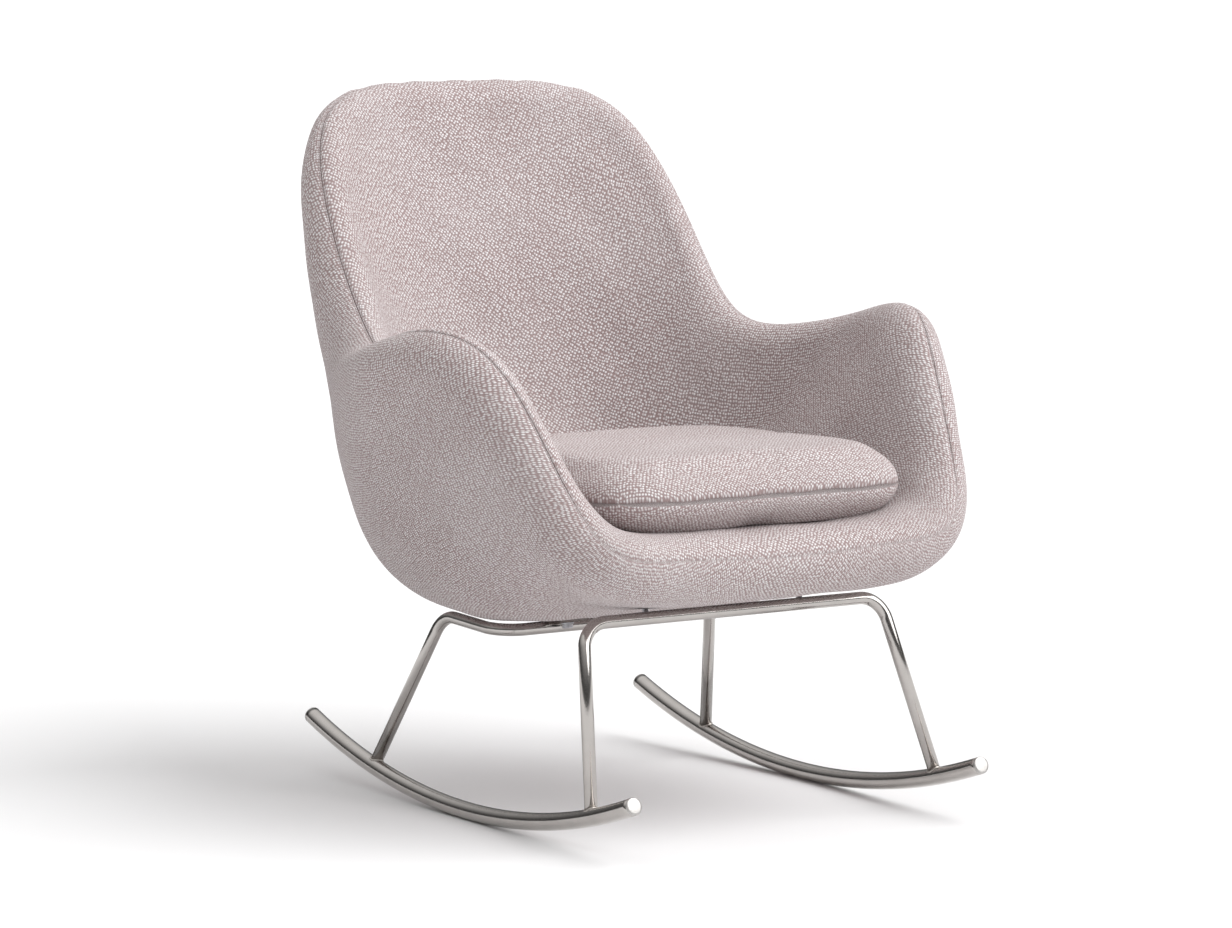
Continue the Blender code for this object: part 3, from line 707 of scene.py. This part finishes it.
def cloth_layout(face, angle, across, sheet, top):
    """Each point's place in the flat cloth, in metres.

    Across: the length of the sheet from its centre line.  Along: the length of the centre line.
    Each spoke's steps are then stretched to their true length on the padding.
    """
    parts = np.linspace(0, 1, LAYOUT_STEPS + 1)
    lines = datum(face, np.repeat(angle[..., None], len(parts), -1), across[..., None] * parts)
    width = np.linalg.norm(np.diff(lines, axis=2), axis=-1).sum(-1) * np.sign(across)
    centre = np.linspace(-90, 90, CENTRE_POINTS)
    middle = datum(face, centre, np.zeros(CENTRE_POINTS))
    length = np.concatenate([[0], np.cumsum(np.linalg.norm(np.diff(middle, axis=0), axis=1))])
    flat = np.stack([width, np.interp(angle, centre, length)], -1)
    steps = np.diff(flat, axis=0)
    true = np.linalg.norm(np.diff(top, axis=0), axis=-1)
    over = true / np.linalg.norm(np.diff(sheet, axis=0), axis=-1)
    over[FIELD_RINGS:] = true[FIELD_RINGS:] / np.linalg.norm(steps[FIELD_RINGS:], axis=-1)
    flat[1:] = flat[0] + np.cumsum(steps * over[..., None], 0)
    return np.concatenate([flat, np.zeros(flat.shape[:2] + (1,))], -1)

# %% [markdown]
# ## The two panels
#
# Each panel is the cover with the padding under it.  A thin sheet would show nothing more, but a
# closed body can be printed and has no inside to be seen: it is the surface that shows and the back
# of its padding, with one ring of points at the seam in common.

# %% Build the panels
def panel_points(grid):
    """The polar grid as a list of points, with its middle only once."""
    return np.concatenate([grid[0, :1], grid[1:].reshape(-1, *grid.shape[2:])])


def panel_faces(rings, flip):
    """Top of a closed panel, and its back, which shares the last ring with the top."""
    middle = np.array(fan(0, 1, SPOKES, False))
    field = np.array(wrapped_faces(rings, SPOKES, 1))[:, ::-1]
    count = 1 + rings * SPOKES
    number = np.arange(count)
    number[:-SPOKES] += count
    way = -1 if flip else 1
    top = middle[:, ::way].tolist() + field[:, ::way].tolist()
    return top + number[middle[:, ::-way]].tolist() + number[field[:, ::-way]].tolist()


def panel(face, replaced):
    """Builds the inner or outer panel in place of its foam and its cover."""
    top, back, flat, seam = upholstered(face)
    rings = len(top) - 1
    points = np.vstack([panel_points(top), panel_points(back)[:-SPOKES]])
    layers = {"cloth": np.vstack([panel_points(flat), panel_points(flat)[:-SPOKES]]),
              "seam": np.concatenate([panel_points(seam), panel_points(seam)[:-SPOKES]])}
    faces = panel_faces(rings, face == "outer")
    made = make_piece(face + "_panel", points, faces, "chair", COVER_CLOTH, layers)
    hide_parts(*replaced)
    print(face, "panel:", len(points), "points")


panel("inner", ("inner_foam", "inner_cover"))
panel("outer", ("outer_foam", "outer_cover"))

# %% [markdown]
# ## The seat cushion
#
# The loose cushion is two panels of cloth sewn together edge to edge and filled.  A formula alone
# looks like soap, so it only gives the start: two grids over a rounded square, joined at the seam.
# A short cloth simulation then blows them up, so that the cloth finds its own crown and the small
# tensions round its corners.  The rows crowd towards the seam, where the sides turn steep.

# %% Cushion grids
CUSHION_HALF = (0.246, 0.250)
CUSHION_MIDDLE = np.array([0.0, -0.060, 0.414])
CUSHION_FALL = math.radians(1.7)
CUSHION_ROUND = 0.21          # how much the corners are drawn in
CUSHION_CELLS = 84
CUSHION_CROWDING = 1.53       # how much the rows crowd towards the seam, less than pi / 2
CUSHION_RISE = (0.036, 0.034)  # of the upper and the lower panel


def cushion_half(rise):
    """x = a s sqrt(1 - k t^6), y = b t sqrt(1 - k s^6), z = rise * sqrt((1 - s^12)(1 - t^12))."""
    part = np.linspace(-1, 1, CUSHION_CELLS + 1)
    line = np.sin(part * CUSHION_CROWDING) / math.sin(CUSHION_CROWDING)
    s, t = np.meshgrid(line, line, indexing="ij")
    x = CUSHION_HALF[0] * s * np.sqrt(1 - CUSHION_ROUND * t ** 6)
    y = CUSHION_HALF[1] * t * np.sqrt(1 - CUSHION_ROUND * s ** 6)
    bulge = np.sqrt(np.clip((1 - s ** 12) * (1 - t ** 12), 0, 1))
    return np.stack([x, y, rise * bulge], -1)


def cushion_mesh():
    """Both halves, joined along the seam; returns the points, the quads and which are on the seam."""
    upper, lower = cushion_half(CUSHION_RISE[0]), cushion_half(-CUSHION_RISE[1])
    n = CUSHION_CELLS + 1
    number = np.arange(n * n).reshape(n, n)
    edge = np.zeros((n, n), bool)
    edge[[0, -1]] = True
    edge[:, [0, -1]] = True
    under = number.copy()
    under[~edge] = n * n + np.arange((~edge).sum())
    points = np.vstack([upper.reshape(-1, 3), lower[~edge]])
    quads = []
    for index, flip in ((number, False), (under, True)):
        cells = np.stack([index[:-1, :-1], index[1:, :-1], index[1:, 1:], index[:-1, 1:]], -1)
        cells = cells.reshape(-1, 4)
        quads += (cells[:, ::-1] if flip else cells).tolist()
    seam = np.concatenate([edge.ravel(), np.zeros((~edge).sum(), bool)])
    return points, quads, seam

# %% [markdown]
# The simulation runs without gravity, with air pressure inside, for twenty frames.  The script
# keeps only where its points end, so nothing has to be baked or applied, and no point may have moved
# further than a cap.

# %% Blow the cushion up
LAST_FRAME = 20
MOST_SWELL = 0.016            # the cap


def blown_up(points, quads):
    """Cloth simulation of a closed mesh under pressure; returns where its points end."""
    mesh = bpy.data.meshes.new("cushion_rest")
    mesh.from_pydata(points.tolist(), [], quads)
    rest = bpy.data.objects.new("cushion_rest", mesh)
    bpy.context.scene.collection.objects.link(rest)
    modifier = rest.modifiers.new("cloth", "CLOTH")
    settings = modifier.settings
    settings.quality = 6
    settings.mass = 0.35
    settings.tension_stiffness = 12
    settings.compression_stiffness = 12
    settings.shear_stiffness = 6
    settings.bending_stiffness = 1.2
    settings.use_pressure = True
    settings.uniform_pressure_force = 4.0
    settings.effector_weights.gravity = 0.0
    modifier.collision_settings.use_collision = False
    scene = bpy.context.scene
    for step in range(1, LAST_FRAME + 1):
        scene.frame_set(step)
    ended = rest.evaluated_get(bpy.context.evaluated_depsgraph_get()).data
    moved = np.empty(len(points) * 3, np.float32)
    ended.vertices.foreach_get("co", moved)
    scene.frame_set(1)
    bpy.data.objects.remove(rest, do_unlink=True)
    bpy.data.meshes.remove(mesh)
    return moved.reshape(-1, 3).astype(float)


rest_points, cushion_quads, on_seam = cushion_mesh()
swollen = rest_points.copy()
swollen = blown_up(rest_points, cushion_quads)
shift = swollen - rest_points
reach = np.linalg.norm(shift, axis=1, keepdims=True)
shift *= np.minimum(1, MOST_SWELL / np.maximum(reach, 1e-9))
print("cushion swells by up to", round(float(reach.max()) * 1000, 1), "mm before the cap")

# %% [markdown]
# The seam is pinched after the simulation, and puckers a little.  The underside keeps to the seat,
# and the sides keep inside the shell's walls.  The weave's layout folds each panel's sides out flat.

# %% Finish the cushion
PINCH = 0.0022
PUCKER = (0.0012, 75, 60)             # height, and radians per metre along x and y
WALL_HEIGHTS = (0.380, 0.390, 0.410, 0.430, 0.450, 0.480)    # of the shell's side walls, and how
WALL_REACH = (0.205, 0.214, 0.232, 0.244, 0.254, 0.262)      # far out they are, on the seat
SEAT_ALONG = (-0.300, -0.200, -0.100, 0.000, 0.100, 0.150, 0.200)
SEAT_HEIGHT = (0.379, 0.378, 0.370, 0.365, 0.361, 0.362, 0.373)
FOLD_START = 0.7                      # where the layout begins to fold out, in half widths
PANEL_APART = 1.7                     # between the two panels in the layout, in metres


def cushion_layout(points, is_upper):
    """x and y, moved outwards by how far the point has dropped from its panel's crown."""
    distance = np.linalg.norm(points[:, :2], axis=1, keepdims=True)
    radial = points[:, :2] / np.maximum(distance, 1e-6)
    crown = np.where(is_upper, points[:, 2].max(), points[:, 2].min())
    drop = np.abs(crown - points[:, 2])
    part = np.abs(points[:, :2] / CUSHION_HALF).max(1)
    edge_near = np.clip((part - FOLD_START) / (1 - FOLD_START), 0, 1)
    flat = points[:, :2] + radial * (drop * edge_near)[:, None]
    offset = np.where(is_upper, 0.0, PANEL_APART)
    return np.stack([flat[:, 0] + offset, flat[:, 1], np.zeros(len(flat))], -1)


def finish_cushion():
    """Pinches the seam, tips the cushion back onto the seat and makes it a piece."""
    place = rest_points + shift
    is_upper = np.arange(len(place)) < (CUSHION_CELLS + 1) ** 2
    place[on_seam] *= 1 - PINCH / np.linalg.norm(place[on_seam], axis=1, keepdims=True)
    cos, sin = math.cos(-CUSHION_FALL), math.sin(-CUSHION_FALL)
    turn = np.array([[1, 0, 0], [0, cos, -sin], [0, sin, cos]])
    world = place @ turn.T + CUSHION_MIDDLE
    height, along_x, along_y = PUCKER
    world[:, 2] += height * on_seam * np.sin(world[:, 0] * along_x + world[:, 1] * along_y)
    world[:, 2] = np.maximum(world[:, 2], np.interp(world[:, 1], SEAT_ALONG, SEAT_HEIGHT))
    wall = np.interp(world[:, 2], WALL_HEIGHTS, WALL_REACH)
    world[:, 0] = np.clip(world[:, 0], -wall, wall)
    layers = {"cloth": cushion_layout(place, is_upper), "seam": on_seam.astype(float) * 0.9}
    made = make_piece("seat_cushion", world, cushion_quads, "cushion", COVER_CLOTH, layers)
    smoother = made.modifiers.new("smoother", "SUBSURF")
    smoother.levels = 1
    smoother.render_levels = 1
    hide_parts("cushion_core", "cushion_cover_top", "cushion_cover_bottom")
    print("cushion:", len(world), "points before the last subdivision")


finish_cushion()

# %% [markdown]
# ## Studio
#
# A white floor runs far behind the chair, so that it meets no horizon in the picture.  A curved
# backdrop would do the same from one side only.  The sky is bright above and dim round the sides:
# cloth is lit softly from above, and the tubes get dark bands.

# %% Floor, sky and light
FLOOR_HALF = 300.0
PAPER = (0.88, 0.88, 0.885, 1)
SKY_HEIGHTS = (0.10, 0.95)            # sines of the elevations where the sky is dimmest, brightest
SKY_STRENGTHS = (0.07, 1.10)
SKY_COLOUR = (1.0, 0.995, 0.99, 1)
SUN_STRENGTH = 2.6
SUN_WIDTH = math.radians(60)
SUN_WAY = Vector((-0.48, 0.58, -0.66))


def make_floor():
    """One large square with a matt white finish."""
    mesh = bpy.data.meshes.new("floor")
    corners = np.array([(-1, -1, 0), (1, -1, 0), (1, 1, 0), (-1, 1, 0)]) * FLOOR_HALF
    mesh.from_pydata(corners.tolist(), [], [(0, 1, 2, 3)])
    paper = Finish("floor_paper", Roughness=1.0, Specular_IOR_Level=0.0, Base_Color=PAPER)
    mesh.materials.append(paper.material)
    floor = bpy.data.objects.new("floor", mesh)
    bpy.context.scene.collection.objects.link(floor)


def make_sky():
    """World light whose strength rises smoothly from the horizon to overhead."""
    world = bpy.data.worlds.new("sky")
    world.use_nodes = True
    tree = world.node_tree
    coordinate = tree.nodes.new("ShaderNodeTexCoord")
    parts = tree.nodes.new("ShaderNodeSeparateXYZ")
    ramp = tree.nodes.new("ShaderNodeMapRange")
    ramp.interpolation_type = "SMOOTHSTEP"
    for key, value in zip(("From Min", "From Max", "To Min", "To Max"), SKY_HEIGHTS + SKY_STRENGTHS):
        ramp.inputs[key].default_value = value
    tree.links.new(coordinate.outputs["Generated"], parts.inputs[0])
    tree.links.new(parts.outputs["Z"], ramp.inputs["Value"])
    tree.links.new(ramp.outputs[0], tree.nodes["Background"].inputs["Strength"])
    tree.nodes["Background"].inputs["Color"].default_value = SKY_COLOUR
    bpy.context.scene.world = world


def make_soft_sun():
    """One very wide light from the front right: shadows fall back to the left and stay faint."""
    light = bpy.data.lights.new("soft_sun", "SUN")
    light.angle = SUN_WIDTH
    light.energy = SUN_STRENGTH
    sun = bpy.data.objects.new("soft_sun", light)
    bpy.context.scene.collection.objects.link(sun)
    sun.rotation_euler = SUN_WAY.to_track_quat("-Z", "Y").to_euler()


make_floor()
make_sky()
make_soft_sun()
bpy.context.scene.view_settings.view_transform = "Standard"
print("studio ready")
